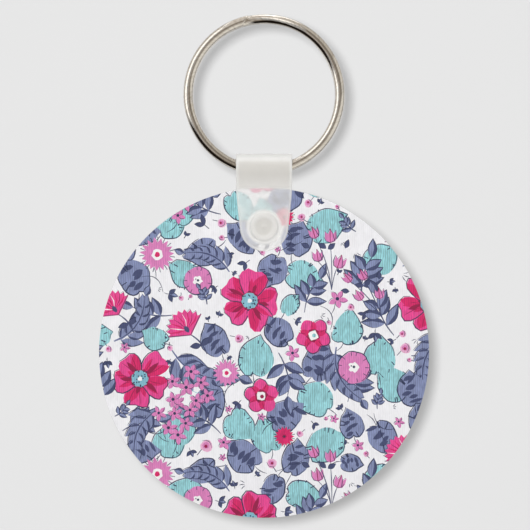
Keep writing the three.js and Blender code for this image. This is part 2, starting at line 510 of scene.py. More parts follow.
class Drawing:
    """Shapes in millimetres on the disc's face, later ones over earlier ones."""

    def __init__(self, seed):
        self.shapes = []
        self.hand = random.Random(seed)
        self.place(0, 0)

    def place(self, x, z, size=1.0, turn=0.0):
        self.x, self.z, self.size, self.turn = x, z, size, radians(turn)

    def vary(self, low, high):
        return self.hand.uniform(low, high)

    def put(self, x, z):
        """Where a point of the motif lies on the disc's face."""
        c, s = polar(self.size, self.turn)
        return self.x + c * x - s * z, self.z + s * x + c * z

    def fill(self, points, ink, shift=(0.0, 0.0)):
        placed = [self.put(*p) for p in points]
        self.shapes.append(([(x + shift[0], z + shift[1]) for x, z in placed], ink))

    def line(self, points, width, ink="line", taper=0.35):
        """A pen line through the points, thick in its middle. The width isn't scaled."""
        at = [Vector(self.put(*p)) for p in points]
        sides = []
        for i, p in enumerate(at):
            along = at[min(i + 1, len(at) - 1)] - at[max(i - 1, 0)]
            if along.length < 1e-6:
                along = Vector((1, 0))
            across = Vector((-along.y, along.x)).normalized()
            share = sin(pi * i / (len(at) - 1)) if len(at) > 2 else 1.0
            half = width / 2 * (taper + (1 - taper) * share) * self.vary(0.8, 1.2)
            sides.append((tuple(p + across * half), tuple(p - across * half)))
        for (a, b), (c, d) in zip(sides, sides[1:]):
            if signed_area([a, b, d]) * signed_area([a, d, c]) > 0:
                self.shapes.append(([a, b, d, c], ink))

    def outline(self, points, width, kept):
        """A pen line round most of a shape, starting anywhere."""
        start = self.hand.randrange(len(points))
        count = max(4, int(len(points) * kept))
        self.line([points[(start + i) % len(points)] for i in range(count)], width, "line", 0.5)

    def dot(self, x, z, radius, ink):
        self.fill(circle(x, z, radius, 6), ink)


# How far the colours are printed off the pen lines.
MISFIT = (0.10, -0.09)


def curve(start, middle, end, count):
    """Points of a bent line from start to end, pulled towards the middle point."""
    points = []
    for i in range(count + 1):
        t = i / count
        points.append(tuple((1 - t) ** 2 * a + 2 * t * (1 - t) * m + t * t * b
                            for a, m, b in zip(start, middle, end)))
    return points


def leaf_shape(length, width, belly, full, bend=0.0, count=5):
    """A leaf or petal from (0, 0) up Z. belly above 1 puts its widest place near the tip."""
    def side(sign):
        return [(sign * width / 2 * sin(pi * (i / count) ** belly) ** full
                 + bend * (i / count) ** 2, length * i / count) for i in range(count + 1)]
    return side(1) + side(-1)[-2:0:-1]


def turned_by(points, turn, x=0.0, z=0.0):
    """Points turned by some degrees, then moved to a place."""
    c, s = polar(1, radians(turn))
    return [(x + c * a - s * b, z + s * a + c * b) for a, b in points]


def wavy_circle(draw, radius, lobes, depth, count, wobble=0.03):
    """A closed shape with rounded lobes and an uneven hand."""
    points = []
    for a in turns(count):
        lobe = 1 - depth + depth * abs(cos(lobes * a / 2))
        points.append(polar(radius * (lobe + draw.vary(-wobble, wobble)), a))
    return points


def broad_shape(draw):
    """A broad leaf of radius 1: a pointed tip at the top and a notch where its stem joins."""
    points = []
    slim = draw.vary(0.72, 0.95)
    skew = draw.vary(-0.18, 0.18)
    sway, ripple = draw.vary(0, 2 * pi), draw.vary(0, 2 * pi)
    for a in turns(28):
        tip = exp(-((a - pi / 2) / 0.2) ** 2)
        notch = exp(-((a - 1.5 * pi) / 0.24) ** 2)
        wobble = 0.035 * sin(3 * a + sway) + 0.018 * sin(7 * a + ripple)
        radius = 0.95 + 0.24 * tip - 0.22 * notch + wobble + draw.vary(-0.01, 0.01)
        x, z = slim * radius * cos(a), radius * sin(a)
        points.append((x + skew * z * z, z))
    return points


def teal_leaf(draw):
    shape = [(1.07 * x, 1.05 * z) for x, z in broad_shape(draw)]
    draw.fill(shape, "teal", MISFIT)
    draw.outline(shape, 0.19, 0.8)
    for _ in range(9):
        a = draw.vary(0, 2 * pi)
        reach = draw.vary(0.62, 0.8)
        lean = draw.vary(-0.12, 0.12)
        draw.line([(0.86 * cos(a), 0.94 * sin(a)), polar(reach, a + lean)], 0.17)
    draw.line(curve((0, -0.75), (0.1, -1.1), (draw.vary(-0.4, 0.4), -1.45), 4), 0.14)


def slate_leaf(draw):
    shape = broad_shape(draw)
    draw.fill(shape, "slate", MISFIT)
    for i in range(6):
        x, z = draw.vary(-0.45, 0.1), -0.62 + 0.25 * i
        length, width = draw.vary(0.45, 0.85), draw.vary(0.18, 0.32)
        blot = leaf_shape(length, width, 1.0, 0.8)
        draw.fill(turned_by(blot, draw.vary(-100, -50), x - 0.15, z), "navy")
    for _ in range(4):
        a = draw.vary(0, 2 * pi)
        c, s = polar(1, a)
        draw.line([(0.8 * c, 0.9 * s), (0.45 * c, 0.5 * s)], 0.2)
    draw.outline(shape, 0.2, 0.85)
    draw.line(curve((0, -0.75), (-0.1, -1.1), (draw.vary(-0.4, 0.4), -1.5), 4), 0.15)


def small_leaf(draw, x, z, length, width, turn, dark=False):
    """One leaf of a sprig: a pen edge, then a light side and a shaded side."""
    bend = draw.vary(-0.12, 0.12) * length
    count = 6
    edge = leaf_shape(length * 1.06, width + 0.2 / draw.size, 0.85, 1.0, bend, count)
    draw.fill(turned_by(edge, turn, x, z), "line")
    whole = leaf_shape(length, width, 0.85, 1.0, bend, count)
    draw.fill(turned_by(whole, turn, x, z), "navy" if dark else "slate", (0.04, -0.04))
    if not dark:
        shaded = whole[:count + 1] + [(bend * 0.3 + width * 0.15, length * 0.55)]
        draw.fill(turned_by(shaded, turn, x, z), "navy", (0.04, -0.04))


def sprig(draw):
    """Leaves in pairs along a bent stem of length 1, with one at its tip."""
    pairs, steps = 3, 16
    stem = curve((0, 0), (draw.hand.choice((-0.16, 0.16)), 0.45), (0, 0.8), steps)
    draw.line(stem[::2], 0.24, "navy", 0.6)
    for i in range(pairs):
        for side in (-1, 1):
            share = 0.24 + 0.62 * i / pairs + draw.vary(0, 0.07)
            x, z = stem[round(share * steps)]
            length = 0.42 - 0.05 * i + draw.vary(-0.03, 0.03)
            small_leaf(draw, x, z, length, 0.18, side * (60 - 9 * i) + draw.vary(-6, 6))
    small_leaf(draw, *stem[-1], 0.34, 0.16, draw.vary(-8, 8))


def feather(draw):
    """A long cut leaf that bends, with narrow lobes that are smaller towards its tip."""
    steps = 14
    rib = curve((0, 0), (0.3, 0.5), (-0.1, 1.0), steps)
    for i in range(2, steps, 2):
        share = i / steps
        x, z = rib[i]
        ahead = degrees(atan2(rib[i - 1][0] - rib[i + 1][0], rib[i + 1][1] - rib[i - 1][1]))
        for side in (-1, 1):
            length = (0.44 - 0.24 * share) * draw.vary(0.85, 1.1)
            lobe = leaf_shape(length, 0.16, 0.9, 0.8, side * 0.1, 6)
            heading = ahead + side * (50 - 18 * share)
            draw.fill(turned_by(lobe, heading, x, z - 0.05), "slate", MISFIT)
            shaded = lobe[:7] if side < 0 else [lobe[0]] + lobe[:5:-1]
            shaded.append((-side * 0.035, length * 0.6))
            draw.fill(turned_by(shaded, heading, x, z - 0.05), "navy", MISFIT)
            draw.line(turned_by(lobe[1:7], heading, x, z - 0.05), 0.14)
            draw.line(turned_by(lobe[7:], heading, x, z - 0.05), 0.12)
    small_leaf(draw, *rib[-1], 0.2, 0.12, 10)
    draw.line(rib[::2], 0.5, "slate", 0.4)
    draw.line(rib[::2], 0.24, "navy", 0.3)


def petal_shape(draw, length, width):
    """A broad petal from (0, 0) up Z, with a dent in its tip and an uneven edge."""
    points = []
    for a in turns(16):
        rise = (1 - cos(a)) / 2
        dent = 0.12 * exp(-((a - pi) / 0.3) ** 2)
        points.append((width / 2 * sin(a) * (0.45 + 0.85 * rise) + draw.vary(-0.02, 0.02),
                       length * (rise - dent) + draw.vary(-0.025, 0.025)))
    return points


def blossom(draw):
    """The large flower, radius 1: loose uneven petals with brushed folds and veins, and a dotted eye."""
    petals = 5
    order = list(range(petals))
    draw.hand.shuffle(order)
    for i in order:
        turn = 360 / petals * i + draw.vary(-8, 8)
        length, width = draw.vary(0.84, 1.08), draw.vary(0.74, 1.0)
        petal = turned_by(petal_shape(draw, length, width), turn)
        draw.fill(petal, "rose", MISFIT)
        shaded = draw.hand.choice((-1, 1))
        fold = leaf_shape(length * 0.93, width * 0.4, 1.3, 0.8, shaded * 0.14, 6)
        draw.fill(turned_by(fold, turn - shaded * 13), "crimson", MISFIT)
        for lean_by in (-17, -2, 14):
            stroke = leaf_shape(length * draw.vary(0.5, 0.86), 0.15, 1.4, 0.9, draw.vary(-0.1, 0.1))
            ink = "wine" if lean_by == -2 else "crimson"
            draw.fill(turned_by(stroke, turn + lean_by + draw.vary(-4, 4)), ink, MISFIT)
        for vein in (-15, 12):
            rib = curve((0, 0.26), (0.04, 0.5), (0, draw.vary(0.55, 0.9)), 2)
            draw.line(turned_by(rib, turn + vein), 0.13, "wine", 0.2)
        draw.outline(petal, 0.2, 0.85)
    draw.fill(wavy_circle(draw, 0.33, 7, 0.2, 14), "wine")
    draw.fill(wavy_circle(draw, 0.27, 9, 0.12, 24, 0.02), "aqua")
    for _ in range(22):
        a, r = draw.vary(0, 6.28), draw.vary(0.08, 0.31)
        draw.dot(*polar(r, a), 0.026, "line")
    draw.fill(wavy_circle(draw, 0.08, 3, 0.3, 8), "snow")


def lobed_flower(draw):
    """A smaller crimson flower, radius 1, with a pale middle."""
    shape = wavy_circle(draw, 1.0, 5, 0.28, 40, 0.02)
    draw.fill(shape, "rose", MISFIT)
    for i in range(5):
        turn = 72 * i + 18
        draw.fill(turned_by(leaf_shape(0.8, 0.34, 1.1, 0.8), turn), "crimson")
        draw.line(turned_by([(0, 0.45), (0.0, 0.82)], turn + 9), 0.11, "wine")
    draw.outline(shape, 0.19, 0.75)
    draw.fill(wavy_circle(draw, 0.42, 5, 0.4, 12, 0.05), "wine")
    draw.fill(wavy_circle(draw, 0.3, 4, 0.35, 12, 0.08), "snow")
    draw.dot(0.05, 0.02, 0.12, draw.hand.choice(["teal", "wine"]))
    for _ in range(5):
        draw.dot(*polar(0.3, draw.vary(0, 6.28)), 0.03, "line")


def fan_flower(draw):
    """A frilled flower seen from its side, its stem leaving downwards. Radius 1."""
    draw.line(curve((0, -0.1), (0.25, -0.6), (0.1, -1.15), 6), 0.24, "navy", 0.7)
    small_leaf(draw, 0.12, -0.75, 0.45, 0.22, -75, True)
    small_leaf(draw, 0.12, -0.7, 0.45, 0.22, 70, True)
    frill = [(0, -0.12)]
    for i in range(19):
        a = radians(20 + 140 * i / 18)
        r = 1.0 - (0.14 if i % 2 else 0) - 0.1 * abs(cos(a))
        x, z = polar(r, a)
        frill.append((x, 0.05 + z))
    draw.fill(frill, "rose", MISFIT)
    for i in range(9):
        a = radians(32 + 116 * i / 8)
        ink = ("crimson", "wine", "crimson", "snow")[i % 4]
        c, s = polar(1, a)
        fold = [(0.12 * c, 0.1 + 0.12 * s), (0.5 * c + 0.05, 0.5 * s), (0.82 * c, 0.82 * s)]
        draw.line(fold, 0.3 if ink == "crimson" else 0.16, ink, 0.2)
    draw.outline(frill, 0.13, 0.8)
    draw.fill(leaf_shape(0.34, 0.2, 1.0, 0.8, count=4), "navy")


def spiky_flower(draw, ink="crimson", spikes=14, pale_eye=False):
    """A round flower with a fringe, radius 1."""
    shape = []
    for i in range(spikes * 2):
        a, r = pi * i / spikes, 0.7 if i % 2 else draw.vary(0.92, 1.05)
        shape.append(polar(r, a))
    draw.fill(shape, ink)
    for i in range(spikes):
        a = 2 * pi * (i + 0.5) / spikes
        draw.line([polar(0.74, a), polar(1.04, a)], 0.12)
    if pale_eye:
        draw.fill(wavy_circle(draw, 0.36, 5, 0.25, 12, 0.06), "snow")
        draw.fill(wavy_circle(draw, 0.17, 3, 0.2, 8), "crimson")
    else:
        draw.fill(wavy_circle(draw, 0.24, 6, 0.4, 12), "wine")
        draw.dot(0, 0, 0.1, "line")


def daisy(draw):
    spiky_flower(draw, "pink", 15, True)


def disc_flower(draw):
    """A round pink flower, radius 1, with ticks round its rim."""
    shape = wavy_circle(draw, 1.0, 7, 0.05, 36, 0.012)
    draw.fill(shape, "pink", MISFIT)
    draw.outline(shape, 0.19, 0.9)
    for i in range(10):
        a = 2 * pi * i / 10 + draw.vary(-0.15, 0.15)
        draw.line([polar(0.72, a), polar(0.95, a)], 0.11)
    draw.fill(wavy_circle(draw, 0.36, 5, 0.35, 14, 0.06), "snow")
    draw.dot(0.02, 0.02, 0.09, "line")
    draw.dot(-0.14, 0.08, 0.05, "line")


def star(draw, x, z, radius, turn):
    for i in range(5):
        petal = leaf_shape(radius * draw.vary(0.9, 1.1), radius * 0.56, 1.05, 0.9)
        petal = turned_by(petal, turn + 72 * i, x, z)
        draw.fill(petal, "pink", MISFIT)
        draw.line(petal[1:6], 0.11)
    draw.dot(x, z, 0.2 * radius, "line")


CLUSTER_SPOTS = [(0, 0), (2.7, 0.9), (-2.5, 1.1), (0.9, 2.9), (-1.6, -2.6), (1.8, -2.4), (3.9, -1.5)]


def star_cluster(draw):
    """Seven five-pointed flowers, each about 1.6 across, on thin stalks."""
    for x, z in CLUSTER_SPOTS[1:]:
        draw.line(curve((0, 0), (x * 0.4, z * 0.7), (x, z), 4), 0.1, "teal", 0.9)
    for i, (x, z) in enumerate(CLUSTER_SPOTS):
        star(draw, x, z, draw.vary(1.45, 1.75), 40 * i)


def tulip(draw, x, z, turn, size):
    cup = [(0, 0), (0.75, 0.3), (1.0, 1.0), (0.95, 2.1), (0.45, 1.55), (0, 2.35), (-0.45, 1.5),
           (-0.95, 2.0), (-1.0, 0.9), (-0.7, 0.25)]
    cup = turned_by([(a * size, b * size) for a, b in cup], turn, x, z)
    draw.fill(cup, "pink", MISFIT)
    draw.outline(cup, 0.14, 1.0)
    draw.line([cup[0], cup[5]], 0.12, "wine")
    draw.line([cup[1], cup[4]], 0.12, "line")


def tulip_branch(draw):
    """Four bell flowers on one branching stem, with small dark leaves in pairs."""
    root = (0, -3.5)
    heads = [(-2.6, 1.0, 12), (0.6, 0.2, -14), (-0.9, 4.3, 6), (-3.4, 4.8, 22)]
    for x, z, turn in heads:
        draw.line(curve(root, (x * 0.2, z * 0.35 - 1), (x, z), 6), 0.16, "navy", 0.6)
        tulip(draw, x, z, turn, draw.vary(0.85, 1.0))
    for x, z, turn in ((-1.5, 3.3, 58), (-1.2, 3.2, -52), (1.6, 3.6, -24), (-4.2, 3.2, 70)):
        small_leaf(draw, x, z, 1.5, 0.75, turn, True)


def bud(draw):
    """A small pink bud of radius 1, with two sepals."""
    draw.fill(wavy_circle(draw, 1.0, 3, 0.12, 10), "blush", MISFIT)
    draw.fill(wavy_circle(draw, 0.6, 3, 0.2, 8), "pink")
    draw.line(turned_by(curve((-0.9, 0.2), (0, 1.3), (0.9, 0.2), 5), draw.vary(0, 360)), 0.12)
    draw.dot(0.1, -0.1, 0.28, "wine")
    draw.line([(0, -0.9), (0.2, -2.0)], 0.12)


def leaf_pair(draw):
    small_leaf(draw, 0, 0, 1.0, 0.42, 38, True)
    small_leaf(draw, 0, 0, 1.1, 0.42, -34, True)
    draw.line([(0, -0.6), (0, 0.1)], 0.13)


def tendril(draw):
    draw.line(curve((0, 0), (0.6, 0.5), (0.1, 1.0), 8), 0.15, "line", 0.4)
    draw.line(curve((0.3, 0.5), (0.6, 0.6), (0.7, 0.9), 5), 0.13, "line", 0.3)


def leaf_trio(draw):
    for turn in (-52, 4, 48):
        small_leaf(draw, 0, 0, draw.vary(0.9, 1.1), 0.42, turn, turn != 4)
    draw.line([(0, -0.55), (0.04, -0.2), (0, 0.1)], 0.15)


def small_star(draw):
    star(draw, 0, 0, 1.0, draw.vary(0, 72))


def pen_ticks(draw):
    for turn in (-30, 5, 40):
        draw.line(turned_by([(0, 0.3), (0.05, 0.65), (0, 1.0)], turn), 0.14)


# Where each motif lies, as circles (x, z, radius) for a motif of size 1.
ROUND = [(0, 0, 0.92)]
ALONG = [(0, 0.15, 0.12), (0.05, 0.4, 0.26), (0.03, 0.65, 0.26), (0, 0.95, 0.2)]
FOOTPRINTS = {
    sprig: ALONG, feather: ALONG,
    tulip_branch: [(-2.7, 2.2, 1.7), (0.6, 1.6, 1.2), (-1.2, 5.2, 1.5), (-3.5, 5.8, 1.2), (0, -1.8, 0.8)],
    star_cluster: [(x, z, 1.6) for x, z in CLUSTER_SPOTS],
    fan_flower: [(0, 0.45, 0.75), (0.1, -0.7, 0.4)],
    tendril: [(0.4, 0.5, 0.2)],
}

# The main motifs of one repeat, each with its places as (x, z, size, turn) from REPEAT_MIDDLE.
REPEAT_MIDDLE = (-7.0, 6.0)
REPEAT_WIDTH = 50.0
REPEAT_HEIGHT = 38.0
REPEAT_DROP = 13.0  # how much higher the next column to the right starts
REPEAT = [
    (teal_leaf, [(17.5, 16, 3.5, -60), (7.5, 17.5, 3, 20), (-9.5, 16.5, 3, -35),
        (21.5, -2, 3, -20), (-20.5, 13.5, 3.3, 40), (13.5, 7.5, 3, -100), (-6.5, 7.5, 3, 70),
        (5.5, -7, 3.4, -10), (-23, -3, 3.1, -70), (16, -14, 3.2, 50), (-7.5, -19, 3.2, -15),
        (2.5, -18.5, 2.8, -140)]),
    (slate_leaf, [(12.5, 13.5, 3.1, -15), (3.5, 14, 3.3, 50), (-14.5, 15, 3, -80),
        (-15.5, 7, 3.3, 20), (16.5, -8, 3.3, -30), (-1.5, -4, 3.1, 30), (10.5, -17, 3.3, -60),
        (-22.5, 4.5, 3.1, -150), (-3.5, 11.5, 2.9, 110), (-2.5, -14.5, 3.1, 0), (8.5, 8.5, 2.8, -200)]),
    (sprig, [(24, 3, 9.5, -12), (-0.5, 18, 8, 60), (9.5, -6, 9.5, -168),
        (-20.5, -16, 9.5, 22), (21.5, -14.5, 9, -30), (-17.5, 18.5, 8, -75), (-9, 0.5, 8.5, 78),
        (14, 1, 8, -25)]),
    (feather, [(-9, -5.5, 12.5, -118), (19.5, -5, 10, -160), (-19, -4, 9.5, -40),
        (-11.5, -16, 9.5, 150), (1, 8, 8.5, 62)]),
    (tendril, [(9, 11.5, 4.5, -30), (-10.5, 4.5, 4.5, 60), (2.5, -11, 4.5, -200),
        (-24, 8.5, 4.5, -120), (18.5, -2, 4.5, 30), (-14, -19, 4.5, -80)]),
    (tulip_branch, [(19, 8.5, 1.05, -5), (-23.5, -10, 0.95, 18)]),
    (star_cluster, [(-6.5, -12, 0.95, 0), (-8.5, 21.5, 0.9, -60)]),
    (blossom, [(4.5, 3, 5.4, -12), (-14.5, -10.5, 5.6, -40)]),
    (daisy, [(-11.5, 11, 3, -20)]),
    (fan_flower, [(-6, -2.5, 4.2, 35)]),
    (lobed_flower, [(6.5, -13.5, 3, -50)]),
    (teal_leaf, [(-23, 18, 3.2, -5)]),
    (lobed_flower, [(15.5, -3, 3.1, -20)]),
    (fan_flower, [(-18.5, 1, 4, 35)]),
    (spiky_flower, [(10.5, 17.5, 1.8, 0)]),
    (daisy, [(0.5, -9.5, 2.4, 0)]),
    (disc_flower, [(-4.5, 6.5, 2.5, -8), (22.5, -8.5, 2.8, 0)]),
    (slate_leaf, [(9.5, -2.5, 2.9, 40), (-17.5, 12.5, 3.1, 15)]),
]

LARGEST_REACH = 8.0  # of a motif past its own place
PRINT_SEED = 11
GAP_SPOTS = 2600
SMALLEST_GAP = 0.62
LARGE_GAP = 1.9
IN_SMALL_GAPS = [leaf_trio, bud, leaf_pair, small_star, leaf_trio, pen_ticks, bud]
IN_LARGE_GAPS = [slate_leaf, sprig, teal_leaf, sprig]
GAP_SIZES = {sprig: 1.7, bud: 0.62}  # a motif's size in a gap of radius 1, where it isn't 1


def lay_motif(draw, taken, motif, x, z, size, turn):
    """Draws a motif and notes the circles that it takes up."""
    draw.place(x, z, size, turn)
    taken.extend((*draw.put(a, b), r * size) for a, b, r in FOOTPRINTS.get(motif, ROUND))
    motif(draw)


def lay_repeats(draw, taken):
    """The repeat laid over the whole disc."""
    laid = [(motif, *place) for motif, places in REPEAT for place in places]
    for (motif, x, z, size, turn), column, row in product(laid, (-1, 0, 1), (-2, -1, 0, 1, 2)):
        at_x = REPEAT_MIDDLE[0] + x + column * REPEAT_WIDTH
        at_z = REPEAT_MIDDLE[1] + z + row * REPEAT_HEIGHT + column * REPEAT_DROP
        if hypot(at_x, at_z) < disc_radius + LARGEST_REACH:
            lay_motif(draw, taken, motif, at_x, at_z, size, turn)


def room_at(x, z, circles):
    """How far a spot is from the nearest of some circles."""
    return min(hypot(x - a, z - b) - r for a, b, r in circles)


def fill_gaps(draw, taken):
    """Small motifs, each where there is most room left, until the gaps are small."""
    spots = []
    while len(spots) < GAP_SPOTS:
        x, z = draw.vary(-disc_radius, disc_radius), draw.vary(-disc_radius, disc_radius)
        if hypot(x, z) < disc_radius:
            spots.append((x, z))
    room = [room_at(x, z, taken) for x, z in spots]
    laid = 0
    while max(room) >= SMALLEST_GAP:
        free = max(room)
        x, z = spots[room.index(free)]
        start = len(taken)
        choice = IN_LARGE_GAPS if free > LARGE_GAP else IN_SMALL_GAPS
        motif = choice[laid % len(choice)]
        lay_motif(draw, taken, motif, x, z, free * GAP_SIZES.get(motif, 1.0), draw.vary(0, 360))
        taken.append((x, z, free * 0.95))
        room = [min(before, room_at(a, b, taken[start:])) for before, (a, b) in zip(room, spots)]
        laid += 1


def floral_print(seed):
    """The print as shapes with their inks, the same for the same seed."""
    draw, taken = Drawing(seed), []
    lay_repeats(draw, taken)
    fill_gaps(draw, taken)
    return draw.shapes


def face_inks(made, inks):
    """Gives each face its ink, for the material to read."""
    colours = []
    for face, ink in zip(made.data.polygons, inks):
        red, green, blue, hatch = INKS[ink]
        colours.extend((*srgb(red, green, blue)[:3], hatch) * face.loop_total)
    made.data.attributes.new("ink", "FLOAT_COLOR", "CORNER").data.foreach_set("color", colours)


def printed_sheet(name, node_name, side, shapes, material):
    """A film with the print as one flat map of ink areas on its outer face, and a plain back."""
    outline = circle(0, 0, disc_radius, RIM_STEPS)
    hole = circle(0, snap_z - disc_z, hole_radius, HOLE_STEPS)
    sheet, faces, covers = triangles([outline, hole] + [points for points, _ in shapes])
    kept = [(f, max(cover)) for f, cover in zip(faces, covers) if 0 in cover and 1 not in cover]
    sheet, front = compact(sheet, [f for f, _ in kept])
    inks = [shapes[top - 2][1] if top > 1 else "paper" for _, top in kept]

    points = [(p.x, -face_y, disc_z + p.y) for p in sheet]
    rims = rim_loops(front)
    back_of = {}
    for loop in rims:
        for i in loop:
            back_of[i] = len(points)
            x, _, z = points[i]
            points.append((x, -face_y + film_thickness, z))
    walls = [face for loop in rims for face in band(loop, [back_of[i] for i in loop])]

    # The rim goes anticlockwise and the hole clockwise, and triangles wants both anticlockwise.
    outer = max(rims, key=len)
    turned = [loop if loop is outer else loop[::-1] for loop in rims]
    flat = [[(points[i][0], points[i][2]) for i in loop] for loop in turned]
    _, back_faces, back_covers = triangles(flat)
    order = [back_of[i] for loop in turned for i in loop]
    in_rim = [rims.index(outer)]
    back = [tuple(order[i] for i in reversed(f)) for f, cover in zip(back_faces, back_covers)
            if cover == in_rim]
    inks += ["paper"] * (len(walls) + len(back))
    if side > 0:
        points = [(-x, -y, z) for x, y, z in points]
    made = piece(name, points, front + walls + back, material)
    made.data.shade_flat()
    face_inks(made, inks)
    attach(made, "disc")
    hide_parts(node_name)


# ---- Strap: one moulded strip over the ring's wire, with a stud and a socket at its ends ----

contact_reach = hypot(leg_y, fold_to_contact)
contact_turn = acos(fold_radius / contact_reach)
contact_z = fold_z - fold_to_contact
lean = atan2(fold_to_contact, leg_y) - contact_turn
lean_length = contact_reach * sin(contact_turn)
seam_angle = radians(25)
knee_radius = 3.0
knee_reach = knee_radius * tan(lean / 2)
knee_start = contact_z - snap_z - knee_reach
knee_end = knee_start + knee_radius * lean
fold_start = knee_end + lean_length - knee_reach
back_length = fold_start + fold_radius * (lean + seam_angle)
front_length = back_length + fold_radius * (pi - 2 * seam_angle)
round_edge = 0.24  # the radius of the strap's edges
dimple_depth = 0.18
dimple_mark = 0.1  # how high the moulding mark stands in the dimple's middle
cover_over_print = 0.37
cover_past_rim = 0.9
cover_in_snap = 0.93


def strap_line(length):
    """A place on a leg's middle line, length up from the snap: ((y, z), the way out from the disc).

    The line is the back leg's, where out is +Y: flat on the disc, then a knee, then leaning in
    to the fold, which it follows over the top. The front leg is its mirror image.
    """
    if length <= knee_start:
        return Vector((leg_y, snap_z + length)), Vector((1, 0))
    if length <= knee_end:
        out = Vector(polar(1, -(length - knee_start) / knee_radius))
        return Vector((leg_y + knee_radius, snap_z + knee_start)) - knee_radius * out, out
    fold_middle = Vector((0, fold_z))
    if length <= fold_start:
        out = Vector(polar(1, -lean))
        along = Vector((-out.y, out.x))
        return fold_middle + fold_radius * out - along * (fold_start - length), out
    out = Vector(polar(1, (length - fold_start) / fold_radius - lean))
    return fold_middle + fold_radius * out, out


def half_width(length):
    """Half of the strap's width: straight sides, then a taper to the round end."""
    if length >= 0:
        wider = strap_width / 2 - strap_end_radius
        return strap_end_radius + wider * smooth(length, 0, above_rim)
    return sqrt(max(strap_end_radius ** 2 - length ** 2, 0.0))


def strap_outline(top, inset):
    """The strap unrolled flat, as (x, length), its sides and end drawn in by inset."""
    steps = 40
    sides = [(half_width(top * i / steps) - inset, top * i / steps) for i in range(steps + 1)]
    end = [polar(strap_end_radius - inset, -pi * i / steps) for i in range(1, steps)]
    return sides[::-1] + end + [(-x, s) for x, s in sides]


def edge_distance(x, length):
    """How far a place on the strap is from its nearest side or from its round end."""
    if length < 0:
        return strap_end_radius - hypot(x, length)
    return half_width(length) - abs(x)


def edge_height(x, length):
    """Half of the strap's thickness at a place, less where its edge is rounded."""
    depth = min(max(edge_distance(x, length) / round_edge, 0.0), 1.0)
    return half_strap - round_edge * (1 - sqrt(max(1 - (1 - depth) ** 2, 0.0)))


def snap_relief(radius, dimple):
    """How far the snap's outside stands out of the strap, with the stud half's dimple or without."""
    raised = pad_height * (1 - smooth(radius, pad_radius - 0.5, pad_radius - 0.1))
    if not dimple:
        return raised
    sunk = dimple_depth * (1 - smooth(radius, 1.2, 1.75))
    mark = dimple_mark * (1 - smooth(radius, 0.15, 0.32))
    return raised - sunk + mark


def past_rim_at(length):
    """0 where the strap lies over the disc, and 1 past the disc's rim."""
    return smooth(length, above_rim - 0.5, above_rim + 0.4)


def near_edge(x, length):
    """1 at the strap's edges, and 0 away from them."""
    return 1 - smooth(edge_distance(x, length), 0.05, 0.5)


def cover_at(x, length):
    """How much the plastic hides: most in the snap and past the disc's rim, least over the print."""
    in_pad = 1 - smooth(hypot(x, length), pad_radius - 0.1, pad_radius + 0.6)
    past_rim, edge = past_rim_at(length), near_edge(x, length)
    cover = cover_over_print + (cover_past_rim - cover_over_print) * past_rim
    # Over the print the edges hide more of it and so look paler: a painted highlight along the edges.
    cover += 0.2 * edge * (1 - past_rim)
    return cover + (cover_in_snap - cover) * in_pad


def warmth_at(x, length, front):
    """How beige the plastic is: in the snap, and between the disc's rim and the fold in front, less so
    just above the rim. It is left pale towards the fold's top and along the edges: a painted highlight
    where light catches them.
    """
    radius = hypot(x, length)
    in_snap = (0.35 + 0.45 * (1 - smooth(radius, 1.1, 1.9))) * (1 - smooth(radius, 2.2, 2.6))
    if not front:
        return in_snap
    # Painted highlight: the beige fades out towards the fold's top, so the fold's top shows pale.
    fold_top_highlight = smooth(length, front_length - fold_radius * 2.35, front_length - fold_radius * 1.95)
    middle_part = 0.6 + 0.4 * smooth(length, above_rim + 0.3, above_rim + 2.6)
    past_rim, edge = past_rim_at(length), near_edge(x, length)
    # The edges are kept pale as well, a painted highlight where light catches them.
    return in_snap + 0.95 * middle_part * past_rim * (1 - edge) * (1 - fold_top_highlight)


def leg_sheet(front, hole):
    """A leg unrolled flat and cut into triangles, with rings round the snap and rows above it."""
    top = front_length if front else back_length
    insets = [round_edge * (1 - cos(pi / 8 * i)) for i in range(5)]
    ring_radii = (0.15, 0.32, 0.7, 1.0, 1.2, 1.34, 1.48, 1.61, 1.75, 1.95,
                  2.2, 2.28, 2.36, 2.44, 2.52, 2.6, 2.7, 3.2, 3.7)
    radii = {hole} | {r for r in ring_radii if front or r > hole}
    shapes = [strap_outline(top, inset) for inset in insets]
    shapes += [circle(0, 0, r, SNAP_STEPS) for r in sorted(radii)]
    step, first_row, end_gap, side_gap = 0.42, 3.95, 0.37, 0.1
    rows = int((top - first_row - end_gap) / step) + 1
    grid = [(i * step, first_row + j * step) for j in range(rows) for i in range(-11, 12)]
    inside = [(x, s) for x, s in grid if abs(x) < half_width(s) - round_edge - side_gap]
    sheet, faces, _ = triangles(shapes, inside)
    return sheet, faces


def snap_wall(front):
    """The wall round the snap's axis, as (radius, how far out of the strap's middle line)."""
    if not front:
        steps = (-half_strap + 0.1, 0.0, half_strap, half_strap + pad_height - 0.1)
        return [(socket_radius, out) for out in steps]
    boss_end = -(leg_y + face_y - strap_to_disc)
    head = -(2 * leg_y + half_strap - stud_sunk)
    tip = head - pad_height
    neck_r, head_r = stud_neck_radius, stud_head_radius
    return [(boss_radius, boss_end + 0.12), (boss_radius - 0.05, boss_end + 0.03),
            (boss_radius - 0.15, boss_end), (neck_r + 0.12, boss_end), (neck_r + 0.02, boss_end - 0.05),
            (neck_r, boss_end - 0.15), (neck_r, head + 0.3), (neck_r + 0.04, head + 0.22),
            (head_r - 0.03, head), (head_r, head - 0.1), (head_r - 0.06, tip + 0.1),
            (head_r - 0.25, tip), (0.6, tip), (0.0, tip)]


